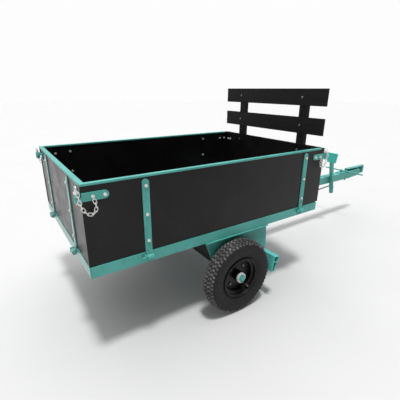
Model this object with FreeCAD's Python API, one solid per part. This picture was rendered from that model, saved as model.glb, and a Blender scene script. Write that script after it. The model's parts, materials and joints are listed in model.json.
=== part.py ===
import FreeCAD, Part

import math
import os

V = FreeCAD.Vector
X_AXIS = V(1, 0, 0)
Y_AXIS = V(0, 1, 0)
Z_AXIS = V(0, 0, 1)

# A two-wheeled drop-side cart. Millimetres. While it is drawn, X runs forward from the back face of
# the box frame, Y is zero on the centre line with the left side positive, and Z is zero on the
# underside of the box frame. The last function moves everything so that the ground is Z = 0 and the
# middle of the overall length is X = 0.

# Box frame
FRAME_LENGTH = 1400
FRAME_WIDTH = 930
FRAME_DEPTH = 50
RAIL_WIDTH = 30
CHANNEL_WALL = 3
HALF_WIDTH = FRAME_WIDTH / 2
CROSS_DEPTH = 38
CROSS_XS = (230, 600, 900, 1180)

# Panels
PANEL = 15
PANEL_INSET = 2.5
PANEL_FOOT = 54
PANEL_HEAD = 389
SIDE_LENGTH = 1411
SIDE_FACE = HALF_WIDTH - PANEL_INSET
GATE_HALF = 443
CAP_WIDTH = 20
CAP_DEPTH = 9
CAP_WALL = 2
CAP_TOP = PANEL_HEAD + CAP_WALL
SIDE_CAP_LENGTH = 1380
FRONT_X = 1392
FRONT_THICK = 15
FRONT_HALF = 443

# Hinge straps: a flat bar with a rolled eye below, on a fixed gudgeon
BAR = 5
STRAP_WIDTH = 31
STRAP_TOP = 375
SIDE_STRAP_XS = (252, 1245)
GATE_STRAP_Y = 250
HINGE_OUT = 14.5
HINGE_Z = 30
GUDGEON_R = 6.0
EYE_BORE_R = 6.05
EYE_R = 10.9
STRAP_BOLT_ZS = (104, 223, 347)
JOGGLE = 3.1
PIN_TAIL = 12

# Corner latches: a side eye below, an end-panel eye above, one vertical pin through both
LATCH_Z = 341
LATCH_BAR = 33
LATCH_OUT = 1.5
LATCH_BEYOND = 14
LATCH_EYE_R = 9
LATCH_BORE_R = 5.3
LATCH_PIN_R = 5
LATCH_GAP = 2.5
REAR_LATCH_BOLT_XS = (42, 87)
FRONT_LATCH_BOLT_XS = (1330, 1372)
RING_R = 10
RING_WIRE_R = 1.8

# Latch chains
CHAIN_WIRE_R = 1.5
CHAIN_END_R = 5.6
CHAIN_HALF = 4.8
CHAIN_PITCH = 15.3
REAR_SLACK = 70
FRONT_SLACK = 64
CHAIN_HEEL = -14
CHAIN_OUT = 19

# Headboard
BOARD_FOOTS = (457, 624)
BOARD_HEIGHT = 98
BOARD_HALF = 445
POST_Y = 278
POST_WIDTH = 56
POST_THICK = 30
POST_FOOT = 70
POST_HEAD = 700

# M8 hex bolts and nuts
M8_R = 4
M8_HOLE_R = 4.3
M8_FLATS = 13
M8_HEAD = 5.3
M8_NUT = 6.5
M8_PROUD = 3

# Wheels
AXLE_X = 725
AXLE_DROP = 213
TYRE_R = 204
WHEEL_Y = 512.6
HUB_OUTER = 38
HUB_INNER = 42.6
HUB_R = 27
BEARING_R = 23.5
BEARING_WIDTH = 12
BEARING_BORE_R = 12.53
STUB_R = 12.5
WASHER_R = 19.5
RIM_BOLT_CIRCLE_R = 60
DISC_Y = 6
DISC_THICK = 4
VALVE_ANGLE = -54
VALVE_Y = -8

# Pedestals, axle and cross plate
PEDESTAL_FACE = 457
PEDESTAL_PLATE = 6
PEDESTAL_INNER = PEDESTAL_FACE - PEDESTAL_PLATE
PEDESTAL_BACK = 555
PEDESTAL_FRONT = 975
PEDESTAL_LIP = 474
AXLE_TUBE = 40
AXLE_WALL = 4

# Drawbar, coupler and footrest
DRAWBAR = 60
DRAWBAR_WALL = 4
DRAWBAR_END = 2665
UNDERCUT = (2500, 13)
HITCH_X = 2748
HITCH_R = 17
HITCH_BORE_R = 10.25
HITCH_FOOT = -44
HITCH_HEAD = 29
COUPLER_BACK = 2360
JAW_BACK = 2485
JAW_TOP = 27
JAW_FOOT = -40
JAW_WALL = 6
COUPLER_PLATE = 5
COUPLER_BOLT_XS = (2404, 2481)
COUPLER_BOLT_R = 7
FOOTREST_X = 2441
FOOTREST_R = 6
FOOTREST_HALF = 184

# Foot brake
LEVER_X = 2198
LEVER_Z = -28
LEVER_Y = -45
LEVER_TUBE = 25
LEVER_WALL = 2.5
LEVER_LEAN = 12
LEVER_BELOW = 125
LEVER_ABOVE = 235
LEVER_ROD_DROP = 65
PEDAL_FOOT = 169
PEDAL_HEAD = 256
PEDAL_SHIFT = -6
PEDAL_FOOT_HALF = 42
PEDAL_HEAD_HALF = 64
PIVOT_R = 6
PIVOT_BORE_R = 6.05
ROD_R = 5
ROD_HOLE_R = 5.6
ROD_Y = -22
BEAM_PIVOT_X = 946
BEAM_PIVOT_Z = -121
BEAM_X = 962
BEAM_Z = -201
BEAM_THICK = 37
BEAM_TALL = 90
BEAM_WALL = 3
BEAM_TOE = 18
BEAM_WEB_Z = 9
BEAM_LEAN = 9
BEAM_HALF = 563
BEAM_LUG = (998, -172)

# Overall reach, which sets the origin
REAR_REACH = -31.1
FRONT_REACH = HITCH_X + HITCH_R
GROUND = AXLE_DROP + TYRE_R


def box(x0, x1, y0, y1, z0, z1):
    return Part.makeBox(x1 - x0, y1 - y0, z1 - z0, V(x0, y0, z0))


def rod(start, end, radius):
    return Part.makeCylinder(radius, (end - start).Length, start, end - start)


def polygon(points):
    return Part.Face(Part.makePolygon(points + [points[0]]))


def slab_xz(points, y0, y1):
    """A flat shape drawn in X and Z, from y0 to y1."""
    return polygon([V(x, y0, z) for x, z in points]).extrude(V(0, y1 - y0, 0))


def hex_prism(flats, height, base, direction):
    corner = flats / math.sqrt(3)
    ring = [V(corner * math.cos(math.radians(60 * i)), corner * math.sin(math.radians(60 * i)), 0)
            for i in range(6)]
    prism = polygon(ring).extrude(V(0, 0, height))
    prism.Placement = FreeCAD.Placement(base, FreeCAD.Rotation(Z_AXIS, direction))
    return prism


def bolt(seat, direction, grip, radius=M8_R, flats=M8_FLATS, head=M8_HEAD, nut=M8_NUT, proud=M8_PROUD):
    """A hex bolt whose head sits on seat, and its nut past the grip: two separate solids."""
    direction = V(direction).normalize()
    top = hex_prism(flats, head, seat - direction * head, direction)
    shank = rod(seat, seat + direction * (grip + nut + proud), radius)
    nut_base = seat + direction * grip
    ring = hex_prism(flats, nut, nut_base, direction)
    ring = ring.cut(rod(nut_base, nut_base + direction * nut, radius))
    return [top.fuse(shank).removeSplitter(), ring]


def hole(seat, direction, length, radius=M8_HOLE_R):
    direction = V(direction).normalize()
    return rod(seat - direction, seat + direction * (length + 1), radius)


def mirrored(shape):
    return shape.mirror(V(0, 0, 0), Y_AXIS)


def both_sides(shape):
    return [shape, mirrored(shape)]


def channel_y(x0, x1, half, z0, z1, wall, web_at_back):
    """A channel that runs across the cart, with its web at the back or the front."""
    outer = box(x0, x1, -half, half, z0, z1)
    if web_at_back:
        return outer.cut(box(x0 + wall, x1 + 1, -half - 1, half + 1, z0 + wall, z1 - wall))
    return outer.cut(box(x0 - 1, x1 - wall, -half - 1, half + 1, z0 + wall, z1 - wall))


# Box frame

def side_rail():
    x0 = CHANNEL_WALL
    x1 = FRAME_LENGTH - CHANNEL_WALL
    inner = HALF_WIDTH - RAIL_WIDTH
    rail = box(x0, x1, -HALF_WIDTH, -inner, 0, FRAME_DEPTH)
    hollow = box(x0 - 1, x1 + 1, -HALF_WIDTH + CHANNEL_WALL, -inner + 1,
                 CHANNEL_WALL, FRAME_DEPTH - CHANNEL_WALL)
    return rail.cut(hollow)


def end_rails():
    inner = HALF_WIDTH - RAIL_WIDTH
    back = channel_y(0, RAIL_WIDTH, inner, 0, FRAME_DEPTH, CHANNEL_WALL, True)
    back = back.fuse(box(0, CHANNEL_WALL, -HALF_WIDTH, HALF_WIDTH, 0, FRAME_DEPTH)).removeSplitter()
    front = back.mirror(V(FRAME_LENGTH / 2, 0, 0), X_AXIS)
    return [back, front]


def cross_members():
    inner = HALF_WIDTH - RAIL_WIDTH
    return [channel_y(x - 15, x + 15, inner, 0, CROSS_DEPTH, CHANNEL_WALL, True) for x in CROSS_XS]


def floor_board():
    inner = HALF_WIDTH - RAIL_WIDTH
    board = box(RAIL_WIDTH, FRAME_LENGTH - RAIL_WIDTH, -inner, inner, CROSS_DEPTH, FRAME_DEPTH)
    for seat in angle_floor_seats():
        board = board.cut(hole(seat, -Z_AXIS, FRAME_DEPTH))
    return board


# Drop panels are drawn as the right side: along X, with outwards at -Y and the panel's outer face on
# Y = 0. place_right, place_left and place_gate then put them round the frame. The left side is the
# right side turned end for end.

def place_right(shape):
    return shape.translated(V(0, -SIDE_FACE, 0))


def place_left(shape):
    turned = shape.rotated(V(0, 0, 0), Z_AXIS, 180)
    return turned.translated(V(SIDE_LENGTH, SIDE_FACE, 0))


def place_gate(shape):
    turned = shape.rotated(V(0, 0, 0), Z_AXIS, -90)
    return turned.translated(V(PANEL_INSET, 0, 0))


def panel_bolt_seats(strap_xs, bar_xs):
    seats = [V(x, -BAR, z) for x in strap_xs for z in STRAP_BOLT_ZS]
    return seats + [V(x, -BAR, LATCH_Z) for x in bar_xs]


def with_holes(shape, seats):
    for seat in seats:
        shape = shape.cut(hole(seat, Y_AXIS, BAR + PANEL))
    return shape


def panel_board(x0, x1, seats):
    return with_holes(box(x0, x1, 0, PANEL, PANEL_FOOT, PANEL_HEAD), seats)


def cap_rail(x0, x1):
    """A shallow channel upside down on the panel's top edge."""
    outer = box(x0, x1, -PANEL_INSET, CAP_WIDTH - PANEL_INSET, CAP_TOP - CAP_DEPTH, CAP_TOP)
    groove = box(x0 - 1, x1 + 1, -PANEL_INSET + CAP_WALL, CAP_WIDTH - PANEL_INSET - CAP_WALL,
                 CAP_TOP - CAP_DEPTH - 1, PANEL_HEAD)
    return outer.cut(groove)


def hinge_strap(x, seats):
    """The bar lies on the panel, joggles out past the frame and ends in the eye."""
    profile = [(0, STRAP_TOP), (BAR, STRAP_TOP), (BAR, 60), (BAR + JOGGLE, 52),
               (BAR + JOGGLE, HINGE_Z), (JOGGLE, HINGE_Z), (JOGGLE, 52), (0, 60)]
    x0 = x - STRAP_WIDTH / 2
    x1 = x + STRAP_WIDTH / 2
    bar = polygon([V(x0, -out, z) for out, z in profile]).extrude(V(STRAP_WIDTH, 0, 0))
    top_z = STRAP_TOP - STRAP_WIDTH / 2
    blank = box(x0, x1, -30, 10, 0, top_z)
    blank = blank.fuse(rod(V(x, -30, top_z), V(x, 10, top_z), STRAP_WIDTH / 2))
    bar = bar.common(blank)
    eye = rod(V(x0, -HINGE_OUT, HINGE_Z), V(x1, -HINGE_OUT, HINGE_Z), EYE_R)
    bore = rod(V(x0 - 1, -HINGE_OUT, HINGE_Z), V(x1 + 1, -HINGE_OUT, HINGE_Z), EYE_BORE_R)
    strap = bar.fuse(eye).cut(bore)
    return with_holes(strap, seats).removeSplitter()


def gudgeon(x):
    """A cranked plate welded to the frame, with the pin that the strap's eye turns on."""
    plate_x = x - STRAP_WIDTH / 2 - 8
    plate = box(plate_x, plate_x + 6, -HINGE_OUT - 11, -PANEL_INSET, HINGE_Z - 12, HINGE_Z + 12)
    tip_x = x + STRAP_WIDTH / 2 + 2
    pin = rod(V(plate_x - PIN_TAIL, -HINGE_OUT, HINGE_Z), V(tip_x, -HINGE_OUT, HINGE_Z), GUDGEON_R)
    return plate.fuse(pin).removeSplitter()


def side_latch_bar(bolt_xs, eye_x):
    """A flat bar with a round end, and below it at the corner a vertical eye."""
    inward = 1 if eye_x < bolt_xs[0] else -1
    far_x = max(bolt_xs) if inward > 0 else min(bolt_xs)
    z0 = LATCH_Z - LATCH_BAR / 2
    z1 = LATCH_Z + LATCH_BAR / 2
    bar = box(min(eye_x, far_x), max(eye_x, far_x), -BAR, 0, z0, z1)
    bar = bar.fuse(rod(V(far_x, -BAR, LATCH_Z), V(far_x, 0, LATCH_Z), LATCH_BAR / 2))
    panel_end = eye_x + inward * (LATCH_BEYOND + 2)
    notch_x = sorted((eye_x - inward * 20, panel_end))
    bar = bar.cut(box(notch_x[0], notch_x[1], -BAR - 1, 1, LATCH_Z, z1 + 1))
    axis = V(eye_x, -LATCH_OUT, 0)
    eye = rod(axis + V(0, 0, z0), axis + V(0, 0, LATCH_Z), LATCH_EYE_R)
    bore = rod(axis + V(0, 0, z0 - 1), axis + V(0, 0, LATCH_Z + 1), LATCH_BORE_R)
    bar = bar.fuse(eye).cut(bore)
    return with_holes(bar, [V(x, -BAR, LATCH_Z) for x in bolt_xs]).removeSplitter()


def panel_bolts(seats):
    return [piece for seat in seats for piece in bolt(seat, Y_AXIS, BAR + PANEL)]


def eye_axis_y():
    return SIDE_FACE + LATCH_OUT


def end_latch_eye(face_x, outward, eye_x):
    """The mating eye, on the back or front panel's outer face near its right end."""
    z0 = LATCH_Z + LATCH_GAP
    z1 = LATCH_Z + LATCH_BAR / 2
    out_x = face_x + outward * BAR
    seats = end_latch_seats(out_x)
    xs = sorted((face_x, out_x))
    bar = box(xs[0], xs[1], -GATE_HALF, -GATE_HALF + 63, LATCH_Z - LATCH_BAR / 2, z1)
    xs = sorted((out_x, eye_x))
    block = box(xs[0], xs[1], -eye_axis_y(), -GATE_HALF + 13, z0, z1)
    axis = V(eye_x, -eye_axis_y(), 0)
    eye = rod(axis + V(0, 0, z0), axis + V(0, 0, z1), LATCH_EYE_R)
    bore = rod(axis + V(0, 0, z0 - 1), axis + V(0, 0, z1 + 1), LATCH_BORE_R)
    eye = bar.fuse(block).fuse(eye).cut(bore)
    for seat in seats:
        eye = eye.cut(hole(seat, V(-outward, 0, 0), BAR))
    return eye.removeSplitter()


def end_latch_seats(out_x):
    return [V(out_x, -GATE_HALF + y, LATCH_Z - 3) for y in (28, 53)]


# Right and left sides

SIDE_SEATS = panel_bolt_seats(SIDE_STRAP_XS, REAR_LATCH_BOLT_XS + FRONT_LATCH_BOLT_XS)
FRONT_EYE_X = SIDE_LENGTH + LATCH_BEYOND
REAR_EYE_X = -LATCH_BEYOND


def side_nodes(side, place, place_cap):
    straps = [hinge_strap(x, SIDE_SEATS) for x in SIDE_STRAP_XS]
    bars = [side_latch_bar(REAR_LATCH_BOLT_XS, REAR_EYE_X),
            side_latch_bar(FRONT_LATCH_BOLT_XS, FRONT_EYE_X)]
    return {
        "side_panel_" + side: [place(panel_board(0, SIDE_LENGTH, SIDE_SEATS))],
        "side_cap_" + side: [place_cap(cap_rail(0, SIDE_CAP_LENGTH))],
        "side_straps_" + side: [place(s) for s in straps],
        "side_latch_bars_" + side: [place(s) for s in bars],
        "side_bolts_" + side: [place(s) for s in panel_bolts(SIDE_SEATS)],
    }


# Tailgate

GATE_SEATS = panel_bolt_seats((-GATE_STRAP_Y, GATE_STRAP_Y), ())


def gate_latch_bolt_seats():
    return end_latch_seats(PANEL_INSET - BAR)


def tailgate_nodes():
    board = place_gate(panel_board(-GATE_HALF, GATE_HALF, GATE_SEATS))
    seats = gate_latch_bolt_seats()
    for seat in seats:
        for drill in both_sides(hole(seat, X_AXIS, BAR + PANEL)):
            board = board.cut(drill)
    latch_bolts = [piece for seat in seats for piece in bolt(seat, X_AXIS, BAR + PANEL)]
    return {
        "tailgate_panel": [board],
        "tailgate_cap": [place_gate(cap_rail(-GATE_HALF, GATE_HALF))],
        "tailgate_straps": [place_gate(hinge_strap(x, GATE_SEATS)) for x in (-GATE_STRAP_Y, GATE_STRAP_Y)],
        "tailgate_latch_eyes": both_sides(end_latch_eye(PANEL_INSET, -1, REAR_EYE_X)),
        "tailgate_bolts": [place_gate(s) for s in panel_bolts(GATE_SEATS)]
        + latch_bolts + [mirrored(s) for s in latch_bolts],
    }


# Front panel and headboard

def headboard_seats():
    zs = [foot + BOARD_HEIGHT / 2 for foot in BOARD_FOOTS] + [352, 130]
    return [V(FRONT_X, y, z) for y in (-POST_Y, POST_Y) for z in zs]


def angle_panel_seats():
    return [V(FRONT_X - CHANNEL_WALL, y, 74) for y in (-350, -100, 100, 350)]


def angle_floor_seats():
    return [V(FRONT_X - 30, y, FRAME_DEPTH + CHANNEL_WALL) for y in (-225, 0, 225)]


def front_panel():
    panel = box(FRONT_X, FRONT_X + FRONT_THICK, -FRONT_HALF, FRONT_HALF, PANEL_FOOT, CAP_TOP)
    for seat in headboard_seats() + angle_panel_seats():
        panel = panel.cut(hole(seat, X_AXIS, CHANNEL_WALL + FRONT_THICK))
    for seat in end_latch_seats(FRONT_X + FRONT_THICK + BAR):
        for drill in both_sides(hole(seat, -X_AXIS, BAR + FRONT_THICK)):
            panel = panel.cut(drill)
    return panel


def front_angle():
    upright = box(FRONT_X - CHANNEL_WALL, FRONT_X, -430, 430, FRAME_DEPTH, FRAME_DEPTH + 40)
    flat = box(FRONT_X - 42, FRONT_X, -430, 430, FRAME_DEPTH, FRAME_DEPTH + CHANNEL_WALL)
    angle = upright.fuse(flat).removeSplitter()
    for seat in angle_panel_seats():
        angle = angle.cut(hole(seat, X_AXIS, CHANNEL_WALL))
    for seat in angle_floor_seats():
        angle = angle.cut(hole(seat, -Z_AXIS, CHANNEL_WALL))
    return angle


def headboard_board(foot):
    board = box(FRONT_X, FRONT_X + FRONT_THICK, -BOARD_HALF, BOARD_HALF, foot, foot + BOARD_HEIGHT)
    for seat in headboard_seats():
        board = board.cut(hole(seat, X_AXIS, FRONT_THICK))
    return board


def headboard_post(y):
    x0 = FRONT_X + FRONT_THICK
    post = box(x0, x0 + POST_THICK, y - POST_WIDTH / 2, y + POST_WIDTH / 2, POST_FOOT, POST_HEAD)
    for seat in headboard_seats():
        post = post.cut(hole(seat, X_AXIS, FRONT_THICK + POST_THICK))
    return post


def front_bolts():
    pieces = []
    for seat in angle_panel_seats():
        pieces += bolt(seat, X_AXIS, CHANNEL_WALL + FRONT_THICK)
    for seat in angle_floor_seats():
        pieces += bolt(seat, -Z_AXIS, CHANNEL_WALL + FRAME_DEPTH - CROSS_DEPTH)
    for seat in end_latch_seats(FRONT_X + FRONT_THICK + BAR):
        for piece in bolt(seat, -X_AXIS, BAR + FRONT_THICK):
            pieces += both_sides(piece)
    return pieces


def headboard_bolts():
    grip = FRONT_THICK + POST_THICK
    return [piece for seat in headboard_seats() for piece in bolt(seat, X_AXIS, grip)]


# Pedestals, axle and cross plate

def pedestal():
    outline = [(PEDESTAL_BACK, 0), (PEDESTAL_FRONT, 0), (PEDESTAL_FRONT + 9, -143),
               (PEDESTAL_FRONT - 55, -143), (800, -250), (657, -250)]
    plate = slab_xz(outline, -PEDESTAL_FACE, -PEDESTAL_INNER)
    lip = box(PEDESTAL_BACK, PEDESTAL_FRONT, -PEDESTAL_LIP, -HALF_WIDTH + RAIL_WIDTH, -4, 0)
    edge = [(PEDESTAL_FRONT - 5, -4), (PEDESTAL_FRONT, -4),
            (PEDESTAL_FRONT + 9, -143), (PEDESTAL_FRONT + 4, -143)]
    fold = slab_xz(edge, -PEDESTAL_INNER, -PEDESTAL_INNER + 30)
    shape = plate.fuse(lip).fuse(fold).removeSplitter()
    shape = shape.cut(rod(V(AXLE_X, -500, -AXLE_DROP), V(AXLE_X, -400, -AXLE_DROP), STUB_R))
    pivot = V(BEAM_PIVOT_X, -PEDESTAL_FACE, BEAM_PIVOT_Z)
    return shape.cut(hole(pivot, Y_AXIS, PEDESTAL_PLATE, PIVOT_R))


def cross_plate_profile():
    return [(PEDESTAL_BACK, 0), (561.5, 0), (601, -98), (640, -98), (640, -104), (597, -104)]


def cross_plate():
    plate = slab_xz(cross_plate_profile(), -PEDESTAL_INNER, PEDESTAL_INNER)
    for side in both_sides(pedestal()):
        plate = plate.cut(side)
    return plate


def axle_beam():
    half = AXLE_TUBE / 2
    bore = half - AXLE_WALL
    beam = box(AXLE_X - half, AXLE_X + half, -PEDESTAL_INNER, PEDESTAL_INNER,
               -AXLE_DROP - half, -AXLE_DROP + half)
    return beam.cut(box(AXLE_X - bore, AXLE_X + bore, -PEDESTAL_INNER - 1, PEDESTAL_INNER + 1,
                        -AXLE_DROP - bore, -AXLE_DROP + bore))


STUB_END = WHEEL_Y + HUB_OUTER + 12
PIN_Y = WHEEL_Y + HUB_OUTER + 6.6


def stub_axle():
    half = AXLE_TUBE / 2 - AXLE_WALL
    shank = box(AXLE_X - half, AXLE_X + half, -PEDESTAL_INNER, -PEDESTAL_INNER + 80,
                -AXLE_DROP - half, -AXLE_DROP + half)
    spindle = rod(V(AXLE_X, -PEDESTAL_INNER, -AXLE_DROP), V(AXLE_X, -STUB_END + 2, -AXLE_DROP), STUB_R)
    tip = Part.makeCone(STUB_R, STUB_R - 2, 2, V(AXLE_X, -STUB_END + 2, -AXLE_DROP), -Y_AXIS)
    drill = rod(V(AXLE_X, -PIN_Y, -AXLE_DROP - 20), V(AXLE_X, -PIN_Y, -AXLE_DROP + 20), 2.6)
    return shank.fuse(spindle).fuse(tip).removeSplitter().cut(drill)


def ring_y(y0, y1, inner, outer):
    centre = V(AXLE_X, -y0, -AXLE_DROP)
    end = V(AXLE_X, -y1, -AXLE_DROP)
    return rod(centre, end, outer).cut(rod(centre, end, inner))


def split_pin():
    """Two legs through the stub, spread apart below, with the round head above."""
    centre = V(AXLE_X, -PIN_Y, -AXLE_DROP)
    leg = rod(centre + V(0, 0, -19), centre + V(0, 0, 17), 2.3)
    head = Part.makeTorus(4, 1.6, centre + V(0, 0, 20), Y_AXIS)
    foot = rod(centre + V(0, 0, -19), centre + V(7, 0, -24), 1.6)
    foot = foot.fuse(rod(centre + V(0, 0, -19), centre + V(-7, 0, -24), 1.6))
    return leg.fuse(head).fuse(foot).removeSplitter()


def axle_retainers():
    inner_end = WHEEL_Y - HUB_INNER
    outer_end = WHEEL_Y + HUB_OUTER
    spacer = ring_y(PEDESTAL_FACE, inner_end - 0.4, STUB_R, 17)
    washer = ring_y(outer_end + 0.4, outer_end + 3.4, STUB_R, WASHER_R)
    return [copy for piece in (spacer, washer, split_pin()) for copy in both_sides(piece)]


# Wheels are drawn round the Y axis at the origin, with the outer face at -Y.

def spun(points_and_arcs):
    """Turns a closed outline about the Y axis. Each entry is a point (y, r), or two for an arc."""
    edges = []
    last = points_and_arcs[0]
    for entry in points_and_arcs[1:] + [points_and_arcs[0]]:
        end = entry[-2:]
        start_v = V(last[1], last[0], 0)
        end_v = V(end[1], end[0], 0)
        if len(entry) == 4:
            edges.append(Part.Arc(start_v, V(entry[1], entry[0], 0), end_v).toShape())
        else:
            edges.append(Part.makeLine(start_v, end_v))
        last = end
    return Part.Face(Part.Wire(edges)).revolve(V(0, 0, 0), Y_AXIS, 360)


def tyre():
    outline = [(-31.6, 101.7), (-31.6, 115.5), (-46, 155, -38, 192), (0, TYRE_R, 38, 192),
               (46, 155, 31.6, 115.5), (31.6, 101.7), (20, 101.7), (22, 116), (36, 155, 28, 184),
               (0, 193, -28, 184), (-36, 155, -22, 116), (-20, 101.7)]
    return spun(outline)


def rim():
    """A drop-centre rim with flared lips, and a disc with the bolt holes."""
    half = [(12, 91), (17, 101.7), (31.75, 101.7), (31.75, 105), (33.2, 108.6, 36.4, 110.4),
            (37.4, 108.1), (35.2, 106.9, 34.2, 104.6), (34.2, 101.7), (33.4, 99.9, 31.6, 99.2),
            (18.6, 99.2), (13.6, 88.5)]
    outline = half + [(-13.6, 88.5), (-18.6, 99.2), (-31.6, 99.2), (-33.4, 99.9, -34.2, 101.7),
                      (-34.2, 104.6), (-35.2, 106.9, -37.4, 108.1), (-36.4, 110.4),
                      (-33.2, 108.6, -31.75, 105), (-31.75, 101.7), (-17, 101.7), (-12, 91)]
    disc = spun([(DISC_Y, HUB_R + 1), (DISC_Y, 89.5), (DISC_Y + DISC_THICK, 89.5),
                 (DISC_Y + DISC_THICK, HUB_R + 1)])
    shape = spun(outline).fuse(disc)
    for seat in rim_bolt_seats():
        shape = shape.cut(hole(seat, Y_AXIS, DISC_THICK))
    inward = valve_direction()
    shape = shape.cut(rod(inward * 70 + V(0, VALVE_Y, 0), inward * 95 + V(0, VALVE_Y, 0), 5.5))
    return shape.removeSplitter()


def valve_direction():
    angle = math.radians(VALVE_ANGLE)
    return V(math.cos(angle), 0, math.sin(angle))


def oval_ring(half_width, half_depth):
    """A ring of oval section, 149 mm in radius, turned about the Y axis."""
    centre = V(149, 0, 0)
    ellipse = Part.Ellipse(centre + V(half_depth, 0, 0), centre + V(0, half_width, 0), centre)
    return Part.Face(Part.Wire([ellipse.toShape()])).revolve(V(0, 0, 0), Y_AXIS, 360)


def inner_tube():
    """A hollow rubber ring whose valve stem comes through the rim."""
    outwards = valve_direction()
    offset = V(0, VALVE_Y, 0)
    stem = rod(outwards * 66 + offset, outwards * 111 + offset, 4)
    bore = rod(outwards * 65 + offset, outwards * 120 + offset, 1.2)
    return oval_ring(31, 42).fuse(stem).cut(oval_ring(28.5, 39.5)).cut(bore)


def rim_bolt_seats():
    seats = []
    for i in range(4):
        angle = math.radians(45 + 90 * i)
        seats.append(V(RIM_BOLT_CIRCLE_R * math.cos(angle), DISC_Y, RIM_BOLT_CIRCLE_R * math.sin(angle)))
    return seats


def hub():
    flange_y = DISC_Y + DISC_THICK
    outline = [(-HUB_OUTER, BEARING_R), (-HUB_OUTER, HUB_R), (flange_y, HUB_R), (flange_y, 75),
               (flange_y + 6, 75), (flange_y + 6, HUB_R), (HUB_INNER, HUB_R), (HUB_INNER, BEARING_R),
               (HUB_INNER - BEARING_WIDTH, BEARING_R), (HUB_INNER - BEARING_WIDTH, BEARING_R - 3),
               (-HUB_OUTER + BEARING_WIDTH, BEARING_R - 3), (-HUB_OUTER + BEARING_WIDTH, BEARING_R)]
    shape = spun(outline)
    for seat in rim_bolt_seats():
        shape = shape.cut(hole(seat + V(0, DISC_THICK, 0), Y_AXIS, 6))
    return shape


def bearings():
    def race(y0):
        return spun([(y0, BEARING_BORE_R), (y0, BEARING_R), (y0 + BEARING_WIDTH, BEARING_R),
                     (y0 + BEARING_WIDTH, BEARING_BORE_R)])
    return [race(-HUB_OUTER), race(HUB_INNER - BEARING_WIDTH)]


def rim_bolts():
    return [piece for seat in rim_bolt_seats() for piece in bolt(seat, Y_AXIS, DISC_THICK + 6)]


def wheel_nodes():
    parts = {
        "tyre": [tyre()],
        "rim": [rim()],
        "inner_tube": [inner_tube()],
        "hub": [hub()],
        "bearings": bearings(),
        "rim_bolts": rim_bolts(),
    }
    nodes = {}
    for name, shapes in parts.items():
        placed = [s.translated(V(AXLE_X, -WHEEL_Y, -AXLE_DROP)) for s in shapes]
        nodes[name + "_right"] = placed
        nodes[name + "_left"] = [mirrored(s) for s in placed]
    return nodes


# Drawbar, coupler and footrest

def hitch_cylinder(radius):
    return rod(V(HITCH_X, 0, HITCH_FOOT), V(HITCH_X, 0, HITCH_HEAD), radius)


def drawbar_outline(inset):
    """The tube's side view: a sloping back end on the cross plate, and a rising underside in front."""
    slope = 39.5 / 98
    start, rise = UNDERCUT
    return [(561.5 + inset * slope, -inset), (561.5 + (DRAWBAR - inset) * slope, -DRAWBAR + inset),
            (start, -DRAWBAR + inset), (DRAWBAR_END, -DRAWBAR + rise + inset), (DRAWBAR_END, -inset)]


def drawbar():
    half = DRAWBAR / 2
    bar = slab_xz(drawbar_outline(0), -half, half)
    bar = bar.cut(slab_xz(drawbar_outline(DRAWBAR_WALL), -half + DRAWBAR_WALL, half - DRAWBAR_WALL))
    bar = bar.cut(rod(V(LEVER_X, -60, LEVER_Z), V(LEVER_X, 60, LEVER_Z), PIVOT_R))
    for x in COUPLER_BOLT_XS:
        bar = bar.cut(rod(V(x, 0, -70), V(x, 0, 5), COUPLER_BOLT_R))
    return bar


def coupler():
    """A plate on the drawbar, and a jaw open to the right that holds the hitch bush in front of it."""
    half = DRAWBAR / 2
    end = DRAWBAR_END
    plate = box(COUPLER_BACK, end + JAW_WALL, -half, half, 0, COUPLER_PLATE)
    close = box(end, end + JAW_WALL, -half, half, UNDERCUT[1] - DRAWBAR, COUPLER_PLATE)
    top = box(JAW_BACK, HITCH_X, -HITCH_R, HITCH_R, JAW_TOP - JAW_WALL, JAW_TOP)
    web = box(JAW_BACK, HITCH_X, HITCH_R - JAW_WALL, HITCH_R, 0, JAW_TOP)
    web = web.fuse(box(end, HITCH_X, HITCH_R - JAW_WALL, HITCH_R, JAW_FOOT, JAW_TOP))
    foot = box(end, HITCH_X, -HITCH_R, HITCH_R, JAW_FOOT, JAW_FOOT + JAW_WALL)
    shape = plate.fuse([close, top, web, foot]).cut(hitch_cylinder(HITCH_R)).removeSplitter()
    for x in COUPLER_BOLT_XS:
        shape = shape.cut(rod(V(x, 0, -1), V(x, 0, COUPLER_PLATE + 1), COUPLER_BOLT_R))
    return shape


def coupler_bolts():
    """Two vertical bolts, the back one with its nut on top and the front one with its nut below."""
    back, front = COUPLER_BOLT_XS
    grip = COUPLER_PLATE + DRAWBAR
    upward = bolt(V(back, 0, -DRAWBAR), Z_AXIS, grip, COUPLER_BOLT_R, 21, 9, 11, 15)
    downward = bolt(V(front, 0, COUPLER_PLATE), -Z_AXIS, grip, COUPLER_BOLT_R, 21, 9, 11, 12)
    return upward + downward


def hitch_bush():
    return hitch_cylinder(HITCH_R).cut(hitch_cylinder(HITCH_BORE_R))


def footrest_bar():
    z = COUPLER_PLATE + FOOTREST_R
    return rod(V(FOOTREST_X, -FOOTREST_HALF, z), V(FOOTREST_X, FOOTREST_HALF, z), FOOTREST_R)


# Foot brake. The lever is drawn upright with its pivot at the origin, then leaned back.

def place_lever(shape):
    leaned = shape.rotated(V(0, 0, 0), Y_AXIS, -LEVER_LEAN)
    return leaned.translated(V(LEVER_X, LEVER_Y, LEVER_Z))


def lever_rod_point():
    angle = math.radians(LEVER_LEAN)
    drop = LEVER_ROD_DROP
    return V(LEVER_X + drop * math.sin(angle), ROD_Y, LEVER_Z - drop * math.cos(angle))


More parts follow.
